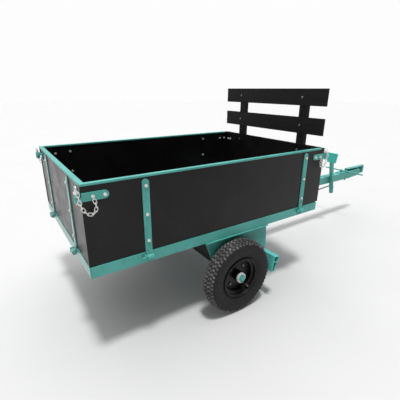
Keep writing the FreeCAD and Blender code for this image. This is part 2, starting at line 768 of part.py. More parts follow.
def brake_lever():
    half = LEVER_TUBE / 2
    bore = half - LEVER_WALL
    tube = box(-half, half, -half, half, -LEVER_BELOW, LEVER_ABOVE)
    tube = tube.cut(box(-bore, bore, -bore, bore, -LEVER_BELOW - 1, LEVER_ABOVE - LEVER_WALL))
    tube = tube.cut(rod(V(0, -20, 0), V(0, 20, 0), PIVOT_BORE_R))
    tube = tube.cut(rod(V(0, -20, -LEVER_ROD_DROP), V(0, 20, -LEVER_ROD_DROP), ROD_R + 0.05))
    return place_lever(tube)


def brake_pedal():
    back = -LEVER_TUBE / 2
    outline = [V(back, -PEDAL_FOOT_HALF, PEDAL_FOOT), V(back, PEDAL_FOOT_HALF, PEDAL_FOOT),
               V(back, PEDAL_HEAD_HALF, PEDAL_HEAD), V(back, -PEDAL_HEAD_HALF, PEDAL_HEAD)]
    plate = polygon(outline).extrude(V(-5, 0, 0))
    return place_lever(plate.translated(V(0, PEDAL_SHIFT, 0)))


def lever_pivot():
    """The bolt through lever and drawbar, its nut, and the washer that spaces them."""
    seat = V(LEVER_X, LEVER_Y - LEVER_TUBE / 2 - 0.3, LEVER_Z)
    grip = DRAWBAR / 2 - seat.y
    pieces = bolt(seat, Y_AXIS, grip, PIVOT_R, 19, 7.5, 10)
    start = V(LEVER_X, LEVER_Y + LEVER_TUBE / 2 + 0.2, LEVER_Z)
    end = V(LEVER_X, -DRAWBAR / 2, LEVER_Z)
    return pieces + [rod(start, end, 12).cut(rod(start, end, PIVOT_R))]


def beam_lug_point():
    return V(BEAM_LUG[0], ROD_Y, BEAM_LUG[1])


def brake_rod():
    """A round rod with a cranked end at each hole."""
    front = lever_rod_point()
    back = beam_lug_point()
    front_tip = V(front.x, LEVER_Y - LEVER_TUBE / 2 - 5, front.z)
    back_tip = V(back.x, ROD_Y + 18, back.z)
    shape = rod(back, front, ROD_R).fuse(Part.makeSphere(ROD_R, front)).fuse(Part.makeSphere(ROD_R, back))
    return shape.fuse(rod(front, front_tip, ROD_R)).fuse(rod(back, back_tip, ROD_R)).removeSplitter()


def beam_front_x(z):
    """The beam's front face at a height above its middle. The foot is narrower than the head."""
    return -BEAM_THICK / 2 + BEAM_TOE + (BEAM_THICK - BEAM_TOE) * (z + BEAM_TALL / 2) / BEAM_TALL


def beam_cell(z0, z1, inset, half):
    """The beam between two heights, with its front and back faces moved inwards by inset."""
    back = -BEAM_THICK / 2 + inset
    outline = [(back, z0), (beam_front_x(z0) - inset, z0), (beam_front_x(z1) - inset, z1), (back, z1)]
    return slab_xz(outline, -half, half)


def brake_beam():
    """The folded beam that presses on both tyres, hung from two arms, with a lug for the rod."""
    tall = BEAM_TALL / 2
    tube = beam_cell(-tall, tall, 0, BEAM_HALF)
    lower = beam_cell(-tall + BEAM_WALL, BEAM_WEB_Z, BEAM_WALL, BEAM_HALF + 1)
    upper = beam_cell(BEAM_WEB_Z + BEAM_WALL, tall - BEAM_WALL, BEAM_WALL, BEAM_HALF + 1)
    bore = lower.fuse(upper)
    place = V(BEAM_X, 0, BEAM_Z)
    tube = tube.rotated(V(0, 0, 0), Y_AXIS, BEAM_LEAN).translated(place)
    bore = bore.rotated(V(0, 0, 0), Y_AXIS, BEAM_LEAN).translated(place)
    arm_y = PEDESTAL_INNER - 2
    arm = slab_xz([(930, -102), (962, -102), (984, -162), (952, -162)], -arm_y, -arm_y + 6)
    lug_x, lug_z = BEAM_LUG
    lug_y = ROD_Y + 8
    lug = slab_xz([(968, lug_z - 20), (lug_x + 12, lug_z - 10), (lug_x + 12, lug_z + 12), (970, lug_z + 12)],
                  lug_y, lug_y + 6)
    shape = tube.fuse(arm).fuse(mirrored(arm)).fuse(lug).cut(bore)
    lug_pin = beam_lug_point()
    shape = shape.cut(hole(lug_pin, Y_AXIS, 20, ROD_HOLE_R))
    pivot = V(BEAM_PIVOT_X, -HALF_WIDTH, BEAM_PIVOT_Z)
    shape = shape.cut(hole(pivot, Y_AXIS, FRAME_WIDTH, PIVOT_BORE_R))
    return shape.removeSplitter()


def beam_pivots():
    seat = V(BEAM_PIVOT_X, -PEDESTAL_FACE, BEAM_PIVOT_Z)
    grip = PEDESTAL_PLATE + 2 + 6 + 0.6
    pieces = bolt(seat, Y_AXIS, grip, PIVOT_R, 19, 7.5, 10)
    start = V(BEAM_PIVOT_X, -PEDESTAL_INNER, BEAM_PIVOT_Z)
    end = start + V(0, 1.8, 0)
    pieces.append(rod(start, end, 12).cut(rod(start, end, PIVOT_R)))
    return [copy for piece in pieces for copy in both_sides(piece)]


# Latch pins and chains, drawn at the back right corner of the right side

def latch_pin():
    axis = V(REAR_EYE_X, -eye_axis_y(), 0)
    top = LATCH_Z + LATCH_BAR / 2
    shank = rod(axis + V(0, 0, LATCH_Z - LATCH_BAR / 2 - 6), axis + V(0, 0, top + 13), LATCH_PIN_R)
    collar = rod(axis + V(0, 0, top + 0.5), axis + V(0, 0, top + 4), 8.5)
    centre = axis + V(0, 0, top + 9 + RING_R)
    shank = shank.fuse(collar).removeSplitter()
    shank = shank.cut(Part.makeTorus(RING_R, RING_WIRE_R + 0.4, centre, X_AXIS))
    return [shank, Part.makeTorus(RING_R, RING_WIRE_R, centre, X_AXIS)]


def chain_curve(slack_x, t):
    """A smooth curve from below the chain's bolt, round the bottom of its loop, up to the pin's ring."""
    handles = ((REAR_LATCH_BOLT_XS[0], 332), (slack_x, 256), (CHAIN_HEEL, 246), (REAR_EYE_X + 2, 368))
    weights = ((1 - t) ** 3, 3 * t * (1 - t) ** 2, 3 * t * t * (1 - t), t ** 3)
    x = sum(weight * handle[0] for weight, handle in zip(weights, handles))
    z = sum(weight * handle[1] for weight, handle in zip(weights, handles))
    return V(x, -SIDE_FACE - CHAIN_OUT, z)


def chain_steps(slack_x, pitch):
    """Places along the curve, each one pitch in a straight line from the last."""
    fine = [chain_curve(slack_x, i / 2000) for i in range(2001)]
    points = [fine[0]]
    for place in fine:
        if (place - points[-1]).Length >= pitch:
            points.append(place)
    return points


def chain_points(slack_x):
    """The steps whose pitch brings the last one nearest to the ring."""
    end = chain_curve(slack_x, 1)
    tries = [chain_steps(slack_x, CHAIN_PITCH + 0.05 * i) for i in range(16)]
    return min(tries, key=lambda points: (end - points[-1]).Length)


def chain_link(start, end, flat):
    """One oval link between two places. Every other link is turned a quarter about its length."""
    half = CHAIN_HALF
    radius = CHAIN_END_R
    corners = [V(half, radius, 0), V(-half, radius, 0), V(-half, -radius, 0), V(half, -radius, 0)]
    path = Part.Wire([
        Part.makeLine(corners[0], corners[1]),
        Part.Arc(corners[1], V(-half - radius, 0, 0), corners[2]).toShape(),
        Part.makeLine(corners[2], corners[3]),
        Part.Arc(corners[3], V(half + radius, 0, 0), corners[0]).toShape()])
    section = Part.Wire([Part.makeCircle(CHAIN_WIRE_R, corners[0], X_AXIS)])
    link = path.makePipeShell([section], True, False)
    along = (end - start).normalize()
    across = Y_AXIS.cross(along).normalize()
    if not flat:
        across = along.cross(across)
    turn = FreeCAD.Rotation(along, across, V(0, 0, 0), "XYZ")
    link.Placement = FreeCAD.Placement((start + end) * 0.5, turn)
    return link


def latch_chain(slack_x):
    points = chain_points(slack_x)
    return [chain_link(a, b, i % 2 == 0) for i, (a, b) in enumerate(zip(points, points[1:]))]


def turned_end_for_end(shape):
    return shape.rotated(V(SIDE_LENGTH / 2, 0, 0), Z_AXIS, 180)


def front_to_back(shape):
    return shape.mirror(V(SIDE_LENGTH / 2, 0, 0), X_AXIS)


def latch_nodes():
    pin = latch_pin()
    right = latch_chain(REAR_SLACK) + [front_to_back(s) for s in latch_chain(FRONT_SLACK)]
    return {
        "latch_pin_rear_right": pin,
        "latch_pin_front_right": [front_to_back(s) for s in pin],
        "latch_pin_front_left": [turned_end_for_end(s) for s in pin],
        "latch_pin_rear_left": [front_to_back(turned_end_for_end(s)) for s in pin],
        "latch_chains_right": right,
        "latch_chains_left": [turned_end_for_end(s) for s in right],
    }


def hinge_gudgeons():
    pieces = [place_right(gudgeon(x)) for x in SIDE_STRAP_XS]
    pieces += [place_left(gudgeon(x)) for x in SIDE_STRAP_XS]
    return pieces + [place_gate(gudgeon(x)) for x in (-GATE_STRAP_Y, GATE_STRAP_Y)]


def all_nodes():
    nodes = {
        "frame_side_rails": both_sides(side_rail()),
        "frame_end_rails": end_rails(),
        "floor_cross_members": cross_members(),
        "floor_board": [floor_board()],
        "hinge_gudgeons": hinge_gudgeons(),
        "front_panel": [front_panel()],
        "front_angle": [front_angle()],
        "front_latch_eyes": both_sides(end_latch_eye(FRONT_X + FRONT_THICK, 1, FRONT_EYE_X)),
        "front_bolts": front_bolts(),
        "headboard_boards": [headboard_board(foot) for foot in BOARD_FOOTS],
        "headboard_posts": [headboard_post(-POST_Y), headboard_post(POST_Y)],
        "headboard_bolts": headboard_bolts(),
        "pedestals": both_sides(pedestal()),
        "cross_plate": [cross_plate()],
        "axle_beam": [axle_beam()],
        "stub_axles": both_sides(stub_axle()),
        "axle_retainers": axle_retainers(),
        "drawbar": [drawbar()],
        "coupler": [coupler()],
        "coupler_bolts": coupler_bolts(),
        "hitch_bush": [hitch_bush()],
        "footrest_bar": [footrest_bar()],
        "brake_lever": [brake_lever()],
        "brake_pedal": [brake_pedal()],
        "brake_rod": [brake_rod()],
        "brake_beam": [brake_beam()],
        "brake_pivots": lever_pivot() + beam_pivots(),
    }
    nodes.update(side_nodes("right", place_right, place_right))
    nodes.update(side_nodes("left", place_left, lambda s: mirrored(place_right(s))))
    nodes.update(tailgate_nodes())
    nodes.update(wheel_nodes())
    nodes.update(latch_nodes())
    return nodes


def export(nodes):
    """Moves the cart so that it stands on Z = 0 with the middle of its length over the origin."""
    shift = V(-(REAR_REACH + FRONT_REACH) / 2, 0, GROUND)
    os.makedirs("parts", exist_ok=True)
    for name, shapes in nodes.items():
        moved = [s.translated(shift) for s in shapes]
        whole = moved[0] if len(moved) == 1 else Part.makeCompound(moved)
        whole.exportStep("parts/" + name + ".step")


export(all_nodes())
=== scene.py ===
import json
import math
import random

import bmesh
import bpy
from mathutils import Matrix, Vector


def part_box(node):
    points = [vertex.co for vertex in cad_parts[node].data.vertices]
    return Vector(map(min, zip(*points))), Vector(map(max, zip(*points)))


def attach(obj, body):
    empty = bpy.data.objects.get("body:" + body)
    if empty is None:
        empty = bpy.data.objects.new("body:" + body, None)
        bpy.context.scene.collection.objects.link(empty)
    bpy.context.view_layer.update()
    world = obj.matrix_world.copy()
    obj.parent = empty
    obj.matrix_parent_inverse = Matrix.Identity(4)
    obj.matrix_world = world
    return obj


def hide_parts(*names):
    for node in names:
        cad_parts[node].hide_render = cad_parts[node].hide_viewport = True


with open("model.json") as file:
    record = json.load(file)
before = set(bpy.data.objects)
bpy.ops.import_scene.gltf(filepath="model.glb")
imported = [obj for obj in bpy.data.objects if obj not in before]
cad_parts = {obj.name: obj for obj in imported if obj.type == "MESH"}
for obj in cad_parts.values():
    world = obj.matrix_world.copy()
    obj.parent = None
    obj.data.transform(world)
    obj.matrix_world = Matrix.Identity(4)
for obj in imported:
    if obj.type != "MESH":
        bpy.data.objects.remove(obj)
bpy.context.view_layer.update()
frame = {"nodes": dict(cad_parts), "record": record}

nodes = frame["nodes"]

# Lengths are written in millimetres in the cart's own frame: x from the back face of the box frame,
# y from the centre line, z from the underside of the box frame. at() puts them in the scene.
MM = 0.001
FRAME_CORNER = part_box("frame_end_rails")[0]
ORIGIN = Vector((FRAME_CORNER.x, 0, FRAME_CORNER.z))
FRAME_LENGTH = 1400
HALF_WIDTH = 465
SIDE_LENGTH = 1411
SIDE_STRAP_XS = (252, 1245)
GATE_STRAP_YS = (-250, 250)


def at(x, y, z):
    return ORIGIN + Vector((x, y, z)) * MM


# Camera: its place in metres, the directions of its right side and its view, and its lens in millimetres

CAMERA_PLACE = Vector((-1.59799, -1.56651, 1.12461))
CAMERA_RIGHT = Vector((0.8288774, -0.5593855, 0.0070787))
CAMERA_AHEAD = Vector((0.5289846, 0.7795876, -0.3352887))
CAMERA_LENS = 27.7638
CAMERA_SENSOR = 36
CAMERA_NEAR = 0.05
CAMERA_FAR = 100


def make_camera():
    data = bpy.data.cameras.new("camera")
    data.lens = CAMERA_LENS
    data.sensor_width = CAMERA_SENSOR
    data.clip_start = CAMERA_NEAR
    data.clip_end = CAMERA_FAR
    camera = bpy.data.objects.new("camera", data)
    back = -CAMERA_AHEAD.normalized()
    up = back.cross(CAMERA_RIGHT.normalized())
    right = up.cross(back)
    turn = Matrix((right, up, back)).transposed().to_4x4()
    camera.matrix_world = Matrix.Translation(CAMERA_PLACE) @ turn
    bpy.context.scene.collection.objects.link(camera)
    bpy.context.scene.camera = camera


make_camera()


# Materials

class Shader:
    """A node material with one Principled shader, and short ways to add and join nodes."""

    def __init__(self, name, metallic=0.0, coat=0.0):
        self.material = bpy.data.materials.new(name)
        self.material.use_nodes = True
        self.tree = self.material.node_tree
        self.surface = self.tree.nodes["Principled BSDF"]
        self.surface.inputs["Metallic"].default_value = metallic
        self.surface.inputs["Coat Weight"].default_value = coat
        self.place = self.add("ShaderNodeTexCoord").outputs["Object"]
        self.last_bump = None

    def add(self, kind, **values):
        node = self.tree.nodes.new(kind)
        for key, value in values.items():
            setattr(node, key, value)
        return node

    def join(self, source, target):
        self.tree.links.new(source, target)

    def stretched(self, scale):
        mapping = self.add("ShaderNodeMapping")
        mapping.inputs["Scale"].default_value = scale
        self.join(self.place, mapping.inputs["Vector"])
        return mapping.outputs["Vector"]

    def noise(self, scale, detail=3.0, stretch=None, distortion=0.0):
        node = self.add("ShaderNodeTexNoise")
        node.inputs["Scale"].default_value = scale
        node.inputs["Detail"].default_value = detail
        node.inputs["Distortion"].default_value = distortion
        self.join(self.stretched(stretch) if stretch else self.place, node.inputs["Vector"])
        return node.outputs["Fac"]

    def cells(self, scale):
        """A random colour for each cell."""
        node = self.add("ShaderNodeTexVoronoi")
        node.inputs["Scale"].default_value = scale
        self.join(self.place, node.inputs["Vector"])
        return node.outputs["Color"]

    def ramp(self, value, *stops):
        """Colours at places along a value between 0 and 1. A colour may be one grey number."""
        node = self.add("ShaderNodeValToRGB")
        elements = node.color_ramp.elements
        while len(elements) < len(stops):
            elements.new(0.5)
        for element, (position, colour) in zip(elements, stops):
            grey = isinstance(colour, (int, float))
            element.position = position
            element.color = (colour, colour, colour, 1) if grey else (*colour, 1)
        self.join(value, node.inputs["Fac"])
        return node.outputs["Color"]

    def mix(self, amount, first, second, blend="MIX"):
        node = self.add("ShaderNodeMix", data_type="RGBA", blend_type=blend)
        for socket, value in zip((node.inputs["Factor"], node.inputs["A"], node.inputs["B"]),
                                 (amount, first, second)):
            if isinstance(value, bpy.types.NodeSocket):
                self.join(value, socket)
            elif isinstance(value, tuple):
                socket.default_value = (*value, 1)
            else:
                socket.default_value = value
        return node.outputs["Result"]

    def multiply(self, first, second):
        node = self.add("ShaderNodeMath", operation="MULTIPLY")
        self.join(first, node.inputs[0])
        if isinstance(second, bpy.types.NodeSocket):
            self.join(second, node.inputs[1])
        else:
            node.inputs[1].default_value = second
        return node.outputs[0]

    def colour(self, value):
        self.join(value, self.surface.inputs["Base Color"])

    def roughness(self, value):
        self.join(value, self.surface.inputs["Roughness"])

    def bump(self, height, strength, depth_mm):
        node = self.add("ShaderNodeBump")
        node.inputs["Strength"].default_value = strength
        node.inputs["Distance"].default_value = depth_mm * MM
        self.join(height, node.inputs["Height"])
        if self.last_bump:
            self.join(self.last_bump, node.inputs["Normal"])
        self.last_bump = node.outputs["Normal"]
        self.join(self.last_bump, self.surface.inputs["Normal"])


# Painted shade: how far the darkening in corners and hollows reaches, and its near-black colour
CORNER_SHADE_REACH = 30
CORNER_SHADE_COLOUR = (0.006, 0.012, 0.012)
DULLING = 0.62
# The hub's outer 10 mm is bright steel; from 13 mm in it is near-black painted shade
HUB_BRIGHT = 10
HUB_SHADE_FROM = 13


def powder_coat(name, dark, light, coat=0.1):
    """Sprayed enamel: faint orange peel, slow random changes of tone, dull marks, and painted shade darkening
    corners and hollows.
    """
    shader = Shader(name, coat=coat)
    shader.surface.inputs["Coat Roughness"].default_value = 0.2
    shader.surface.inputs["Specular IOR Level"].default_value = 0.28
    shade = shader.ramp(shader.noise(7, 5), (0.3, dark), (0.7, light))
    grime = shader.ramp(shader.noise(34, 6, distortion=0.6), (0.56, 0.0), (0.74, 1.0))
    dull = tuple(channel * DULLING for channel in dark)
    marked = shader.mix(shader.multiply(grime, 0.45), shade, dull)
    # Painted shade: ambient occlusion darkens corners, creases and tube insides towards a near-black teal
    shade_occlusion = shader.add("ShaderNodeAmbientOcclusion", samples=6)
    shade_occlusion.inputs["Distance"].default_value = CORNER_SHADE_REACH * MM
    corner_shade = shader.ramp(shade_occlusion.outputs["AO"], (0.05, 1.0), (0.5, 0.0))
    shader.colour(shader.mix(corner_shade, marked, CORNER_SHADE_COLOUR))
    shader.roughness(shader.ramp(shader.noise(60, 4), (0.3, 0.34), (0.75, 0.52)))
    shader.bump(shader.noise(700, 1), 0.12, 0.12)
    shader.bump(shader.noise(90, 2), 0.08, 0.3)
    return shader.material


def film_board():
    """Film-faced plywood: a dark resin skin over faint wood relief, with hairline scratches and large lighter
    patches, partly random tone and partly painted reflection.
    """
    shader = Shader("coated_board", coat=0.08)
    shader.surface.inputs["Coat Roughness"].default_value = 0.12
    shader.surface.inputs["Specular IOR Level"].default_value = 0.19
    # Large cloudy patches of the base colour: partly random tone, partly painted reflection of the glossy
    # skin
    tone_and_sheen_cloud = shader.noise(3.2, 6, distortion=0.8)
    shade = shader.ramp(tone_and_sheen_cloud, (0.3, (0.0040, 0.0034, 0.0036)), (0.72, (0.0118, 0.0100, 0.0096)))
    scratch = shader.ramp(shader.noise(26, 8, (1, 1, 30)), (0.63, 0.0), (0.68, 1.0))
    shader.colour(shader.mix(shader.multiply(scratch, 0.16), shade, (0.09, 0.088, 0.085)))
    shader.roughness(shader.ramp(shader.noise(11, 6), (0.25, 0.24), (0.8, 0.44)))
    shader.bump(shader.noise(55, 5, (0.22, 0.22, 1)), 0.1, 0.5)
    shader.bump(shader.noise(420, 2), 0.06, 0.15)
    return shader.material


def painted_wood(name, stretch):
    """Black stained boards whose grain runs along one direction and still shows in the sheen."""
    shader = Shader(name)
    shader.surface.inputs["Specular IOR Level"].default_value = 0.18
    grain = shader.noise(30, 8, stretch, 1.4)
    pores = shader.noise(150, 4, stretch, 0.4)
    shade = shader.ramp(grain, (0.3, (0.003, 0.0028, 0.0034)), (0.75, (0.0115, 0.0105, 0.0125)))
    shader.colour(shader.mix(shader.ramp(pores, (0.55, 0.0), (0.75, 0.5)), shade, (0.002, 0.002, 0.002)))
    shader.roughness(shader.ramp(grain, (0.3, 0.5), (0.8, 0.68)))
    shader.bump(grain, 0.3, 0.5)
    shader.bump(pores, 0.25, 0.25)
    return shader.material


def plated_steel(name, dark, light, smooth, rough, metallic=0.8):
    """Zinc plate or bright steel: small crystals and uneven polish."""
    shader = Shader(name, metallic=metallic)
    shade = shader.ramp(shader.noise(120, 5), (0.25, dark), (0.7, light))
    shader.colour(shader.mix(0.12, shade, shader.cells(420), "OVERLAY"))
    shader.roughness(shader.ramp(shader.noise(260, 4), (0.3, smooth), (0.75, rough)))
    shader.bump(shader.noise(900, 2), 0.15, 0.05)
    return shader.material


def turned_hub_steel():
    """Bright turned steel on the hub's outer end, and near-black painted shade further in, where the hub sits
    deep in the wheel.
    """
    shader = Shader("hub_steel", metallic=0.35)
    across = shader.add("ShaderNodeSeparateXYZ")
    shader.join(shader.place, across.inputs[0])
    reach = shader.add("ShaderNodeMath", operation="ABSOLUTE")
    shader.join(across.outputs["Y"], reach.inputs[0])
    outer_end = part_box("hub_left")[1].y
    band = shader.add("ShaderNodeMapRange")
    band.inputs["From Min"].default_value = outer_end - HUB_SHADE_FROM * MM
    band.inputs["From Max"].default_value = outer_end - HUB_BRIGHT * MM
    shader.join(reach.outputs[0], band.inputs["Value"])
    steel = shader.ramp(shader.noise(200, 4), (0.3, (0.56, 0.56, 0.55)), (0.7, (0.84, 0.84, 0.83)))
    # Painted shade: near-black on the hub inside the bright band
    shader.colour(shader.mix(band.outputs["Result"], (0.009, 0.009, 0.0095), steel))
    shader.roughness(shader.ramp(shader.noise(260, 4), (0.3, 0.3), (0.75, 0.5)))
    shader.bump(shader.noise(900, 2), 0.15, 0.05)
    return shader.material


def rubber(name, base, dusty, rough):
    """Tyre rubber: matt, a little uneven, with pale dust where the piece's dust attribute says."""
    shader = Shader(name)
    shader.surface.inputs["Specular IOR Level"].default_value = 0.35
    where = shader.add("ShaderNodeAttribute", attribute_name="dust").outputs["Fac"]
    patches = shader.ramp(shader.noise(24, 6), (0.25, 0.25), (0.75, 1.0))
    shade = shader.ramp(shader.noise(50, 5), (0.3, base), (0.75, tuple(c * 1.5 for c in base)))
    shader.colour(shader.mix(shader.multiply(patches, where), shade, dusty))
    shader.roughness(shader.ramp(shader.noise(80, 4), (0.3, rough), (0.8, min(rough + 0.2, 1))))
    shader.bump(shader.noise(500, 3), 0.3, 0.2)
    return shader.material


def black_enamel():
    """The pressed wheel's thin satin paint, with a breath of dust."""
    shader = Shader("wheel_enamel", coat=0.03)
    shader.surface.inputs["Specular IOR Level"].default_value = 0.26
    dust = shader.ramp(shader.noise(30, 6), (0.4, 0.0), (0.8, 0.4))
    shader.colour(shader.mix(dust, (0.0045, 0.0045, 0.0048), (0.018, 0.017, 0.016)))
    shader.roughness(shader.ramp(shader.noise(70, 4), (0.3, 0.34), (0.8, 0.55)))
    shader.bump(shader.noise(600, 2), 0.12, 0.12)
    return shader.material


TEAL_DARK = (0.066, 0.335, 0.298)
TEAL_LIGHT = (0.096, 0.425, 0.378)
MATERIALS = {
    "teal_paint": powder_coat("teal_enamel", TEAL_DARK, TEAL_LIGHT),
    # The pedal: a much brighter teal, painted light on its rear-facing face
    "pedal_paint": powder_coat("pedal_enamel_painted_light", (0.060, 0.62, 0.54), (0.085, 0.71, 0.62)),
    "coated_board": film_board(),
    "black_wood": painted_wood("boards_grain_across", (1, 0.045, 1)),
    "zinc": plated_steel("zinc_plate", (0.58, 0.58, 0.57), (0.88, 0.88, 0.86), 0.26, 0.44, 0.5),
    "bare_steel": plated_steel("drawn_steel", (0.10, 0.16, 0.155), (0.20, 0.27, 0.26), 0.3, 0.5),
    "tyre_rubber": rubber("tyre_rubber", (0.0100, 0.0097, 0.0100), (0.24, 0.23, 0.225), 0.62),
    "inner_rubber": rubber("tube_rubber", (0.012, 0.012, 0.012), (0.05, 0.05, 0.05), 0.5),
    "wheel_black": black_enamel(),
    "hub_steel": turned_hub_steel(),
}

# A few nodes differ from the rest of their slot
UPRIGHT_WOOD = painted_wood("posts_grain_up", (1, 1, 0.045))
# End rails and tailgate straps: a greyer, glossier teal, painted reflection of glare on faces towards the
# back
GLARE_TEAL = powder_coat("teal_enamel_painted_glare", (0.085, 0.255, 0.23), (0.125, 0.325, 0.295), 0.6)
# Brake beam: a brighter teal, painted light on a beam that sits in the wheel's shade
LIT_TEAL_COPY = powder_coat("teal_enamel_painted_light", (0.085, 0.47, 0.43), (0.125, 0.58, 0.53))
DULL_ZINC = plated_steel("dull_zinc", (0.09, 0.09, 0.088), (0.24, 0.24, 0.235), 0.4, 0.6)
# Cross plate and axle beam: near-black enamel, painted shade where the underside lies in shadow
SHADE_BLACK = MATERIALS["wheel_black"]
OWN_MATERIAL = {
    "headboard_posts": UPRIGHT_WOOD,
    "headboard_bolts": DULL_ZINC,
    "frame_end_rails": GLARE_TEAL,
    "tailgate_straps": GLARE_TEAL,
    "brake_beam": LIT_TEAL_COPY,
    "rim_bolts_right": DULL_ZINC,
    "rim_bolts_left": DULL_ZINC,
    "cross_plate": SHADE_BLACK,
    "axle_beam": SHADE_BLACK,
}


# The CAD's own parts: softened edges, and the material of their slot

SHARP_ANGLE = math.radians(30)
FLAT_ANGLE = math.radians(0.6)
SAME_POINT = 0.01
ROUND_PARTS = ("latch_chains_", "latch_pin_")
EDGE_MM = {
    "coated_board": 0.9,
    "black_wood": 2.2,
    "teal_paint": 1.1,
    "pedal_paint": 1.4,
    "zinc": 0.45,
    "hub_steel": 0.6,
    "wheel_black": 0.7,
    "bare_steel": 0.5,
}


def soften(part, width_mm):
    """Rounds the part's sharp edges as a modifier, so that its mesh stays as it is."""
    weld = part.modifiers.new("weld", "WELD")
    weld.merge_threshold = SAME_POINT * MM
    flat = part.modifiers.new("flat", "DECIMATE")
    flat.decimate_type = "DISSOLVE"
    flat.angle_limit = FLAT_ANGLE
    bevel = part.modifiers.new("bevel", "BEVEL")
    bevel.width = width_mm * MM
    bevel.segments = 2
    bevel.limit_method = "ANGLE"
    bevel.angle_limit = SHARP_ANGLE
    normals = part.modifiers.new("normals", "WEIGHTED_NORMAL")
    normals.weight = 80
    normals.keep_sharp = False


def dress_cad_parts():
    for row in frame["record"]["subparts"]:
        node = row["node"]
        slot = row["material_slot"]
        part = nodes[node]
        part.data.materials.clear()
        part.data.materials.append(OWN_MATERIAL.get(node, MATERIALS[slot]))
        if slot in EDGE_MM and not node.startswith(ROUND_PARTS):
            soften(part, EDGE_MM[slot])


dress_cad_parts()


def finish_piece(name, mesh, body, slot, replaced=None, material=None):
    """Turns a drawn mesh into a piece on its body, with the material given or else its slot's material,
    hiding a CAD node if one is named.
    """
    bmesh.ops.recalc_face_normals(mesh, faces=mesh.faces)
    data = bpy.data.meshes.new(name)
    mesh.to_mesh(data)
    mesh.free()
    data.materials.append(material or MATERIALS[slot])
    piece = bpy.data.objects.new(name, data)
    bpy.context.scene.collection.objects.link(piece)
    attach(piece, body)
    if replaced:
        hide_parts(replaced)


def join_rings(mesh, rings, smooth=False):
    """Skins a row of equal rings of vertices into a closed tube."""
    count = len(rings[0])
    for lower, upper in zip(rings, rings[1:]):
        for k in range(count):
            after = (k + 1) % count
            face = mesh.faces.new((lower[k], lower[after], upper[after], upper[k]))
            face.smooth = smooth
    mesh.faces.new(rings[0][::-1])
    mesh.faces.new(rings[-1])


def wheel_centre(side):
    low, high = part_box("rim_" + side)
    return (low + high) / 2


def wheel_point(centre, y, r, angle):
    """The place at y from the wheel's middle plane and r from its axis."""
    return centre + Vector((r * math.cos(angle), y, r * math.sin(angle))) * MM


def turned(mesh, layer, section, steps, centre):
    """Adds a closed section of (y, r, dust) points, turned about the wheel's axis."""
    rings = []
    for i in range(steps):
        ring = []
        for y, r, dust in section:
            vert = mesh.verts.new(wheel_point(centre, y, r, math.tau * i / steps))
            vert[layer] = dust
            ring.append(vert)
        rings.append(ring)
    for i in range(steps):
        ring = rings[i]
        following = rings[(i + 1) % steps]
        for j in range(len(section)):
            after = (j + 1) % len(section)
            face = mesh.faces.new((ring[j], ring[after], following[after], following[j]))
            face.smooth = True


# Tyres: a turned carcass with separate tread blocks, inside the CAD tyre's outline. Points are (y, r): the
# distance from the wheel's middle plane and from its axis. u is the way round the section from the crown.

TYRE_R = 204.0
CROWN_R = 66.17
CROWN_HALF = 38.0
SHOULDER_R = 192.0
BEAD_HALF = 31.6
BEAD_R = 101.7
SIDEWALL = ((CROWN_HALF, SHOULDER_R), (46.0, 155.0), (BEAD_HALF, 115.5))
INSIDE = ((BEAD_HALF, BEAD_R), (20, BEAD_R), (22, 116), (36, 155), (28, 184), (0, 193),
          (-28, 184), (-36, 155), (-22, 116), (-20, BEAD_R))
SECTION_STEPS = 62
TYRE_STEPS = 132

# Ribs moulded round the sidewall: how far round from the crown, half width, height
RIBS = ((57, 1.5, 1.1), (64, 1.2, 0.9), (96, 2.2, 1.1), (106, 3.0, 1.1))
TREAD_EDGE = 43
TREAD_FADE = 9
TREAD_DEPTH = 4.6
WALL_DEPTH = 1.2

# Rows of blocks: where a block starts and ends across the tread, then where it starts and ends round the tyre
# and how far it leans round from one end to the other, as shares of the pitch
PITCHES = 56
MIDDLE_ROW = (-4.6, 4.6, 0.06, 0.56, 0.16)
INNER_ROW = (7.0, 16.5, 0.5, 1.02, -0.2)
OUTER_ROW = (19.0, 29.0, 0.1, 0.62, 0.2)
SHOULDER_ROWS = ((31.5, 44.5, 0.58, 1.14, 0.0), (31.5, 48, 0.58, 1.14, 0.0))

# A block's levels: how deep under the outline, and how far its sides have drawn in there
BLOCK_LEVELS = ((TREAD_DEPTH + 0.8, 0.0), (0.9, 0.7), (0.15, 1.6))
BLOCK_STEP = 5
END_SHARE = 0.8

# Dust: between these on the blocks' tops, and these shares of it at their feet and on the shoulders
BLOCK_DUST = (0.45, 1.0)
FOOT_DUST = 0.3
SHOULDER_DUST = 0.8
GROOVE_DUST = 0.06


def circle_through(a, b, c):
    """Centre and radius of the circle through three points."""
    (ax, ay), (bx, by), (cx, cy) = a, b, c
    four_areas = 2 * (ax * (by - cy) + bx * (cy - ay) + cx * (ay - by))
    a_square = ax * ax + ay * ay
    b_square = bx * bx + by * by
    c_square = cx * cx + cy * cy
    x = (a_square * (by - cy) + b_square * (cy - ay) + c_square * (ay - by)) / four_areas
    y = (a_square * (cx - bx) + b_square * (ax - cx) + c_square * (bx - ax)) / four_areas
    return x, y, math.hypot(ax - x, ay - y)


WALL_Y, WALL_R, WALL_RADIUS = circle_through(*SIDEWALL)
CROWN_ANGLE = math.asin(CROWN_HALF / CROWN_R)
CROWN_LENGTH = CROWN_ANGLE * CROWN_R
WALL_START = math.atan2(SHOULDER_R - WALL_R, CROWN_HALF - WALL_Y)
WALL_END = math.atan2(SIDEWALL[2][1] - WALL_R, SIDEWALL[2][0] - WALL_Y)
WALL_LENGTH = (WALL_START - WALL_END) * WALL_RADIUS


